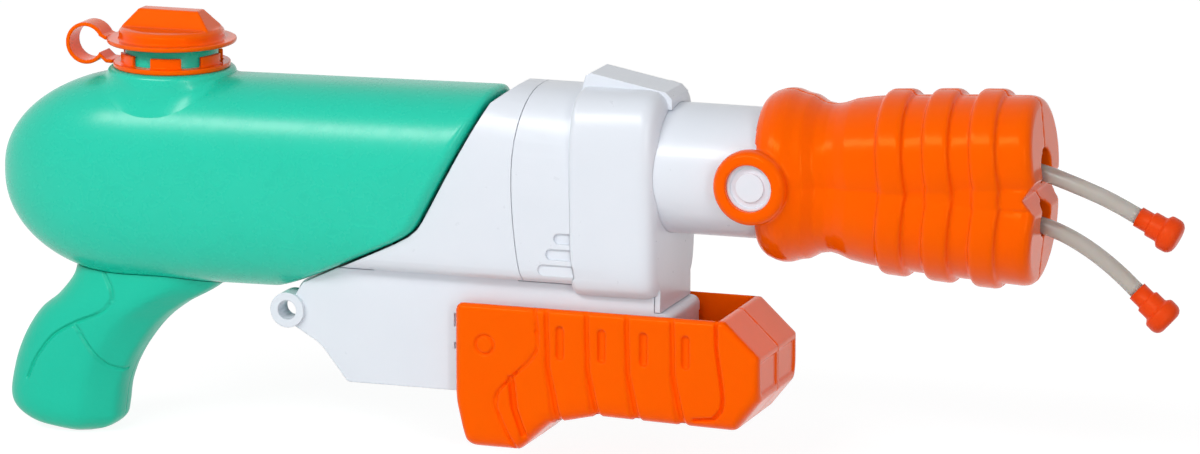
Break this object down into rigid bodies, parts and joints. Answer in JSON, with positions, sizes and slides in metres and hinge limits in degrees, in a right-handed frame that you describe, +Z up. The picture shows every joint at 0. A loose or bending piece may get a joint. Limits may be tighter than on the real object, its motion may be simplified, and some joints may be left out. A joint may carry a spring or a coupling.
{
  "type": "pump-action water squirter",
  "caption": "Pump-action toy water squirter with a rear tank and screw-off cap, pistol grip, sliding pump handle, tilting ribbed nozzle and soft whip hoses.",
  "frame": {"origin": "on the surface that the toy stands on, below the middle of its box (the free hoses left out)", "axes": "+X towards the nozzle, +Y to the toy's left, +Z up"},
  "size_m": [0.5776, 0.078, 0.2069],
  "materials": {
    "gloss_teal": "glossy blow-moulded plastic",
    "matte_teal": "fine-grained moulded plastic",
    "orange": "glossy injection-moulded plastic",
    "tip_orange": "soft satin plastic",
    "white": "satin white plastic",
    "hose": "soft milky tubing",
    "rubber": "soft black rubber",
    "black": "plain black plastic",
    "steel": "zinc-plated steel"
  },
  "bodies": {
    "gun": {"water_tank": "gloss_teal", "tank_grommet": "rubber", "cap_ring": "orange", "cap_strap": "orange", "grip_right": "matte_teal", "grip_left": "matte_teal", "grip_screws": "steel", "housing_right": "white", "housing_left": "white", "mid_shroud": "white", "front_collar": "white", "barrel": "white", "housing_screws": "steel", "intake_hose": "hose", "valve_block": "black", "port_cap": "white", "inlet_flap": "rubber", "outlet_flap": "rubber", "pump_cylinder": "hose", "gland_bush": "black", "delivery_hose": "hose", "outlet_ball": "white"},
    "cap": {"cap": "orange", "cap_seal": "rubber"},
    "pump": {"pump_grip_right": "orange", "pump_grip_left": "orange", "pump_screws": "steel", "piston_rod": "white", "piston_head": "orange", "piston_seal": "rubber", "rod_pin": "steel"},
    "nozzle": {"nozzle_right": "orange", "nozzle_left": "orange", "nozzle_screws": "steel", "nozzle_manifold": "white", "hose_upper": "hose", "hose_lower": "hose", "tip_upper": "tip_orange", "tip_lower": "tip_orange"}
  },
  "joints": [
    {"name": "pump_slide", "type": "slide", "parent": "gun", "child": "pump", "axis": [1, 0, 0], "range_m": [0, 0.07]},
    {"name": "nozzle_tilt", "type": "hinge", "parent": "gun", "child": "nozzle", "pos_m": [0.127, 0, 0.147], "axis": [0, 1, 0], "range_deg": [-18, 18]},
    {"name": "cap_hinge", "type": "hinge", "parent": "gun", "child": "cap", "pos_m": [-0.2128, 0, 0.18887], "axis": [0, -1, 0], "range_deg": [0, 110], "deforming": ["cap_strap"]}
  ]
}
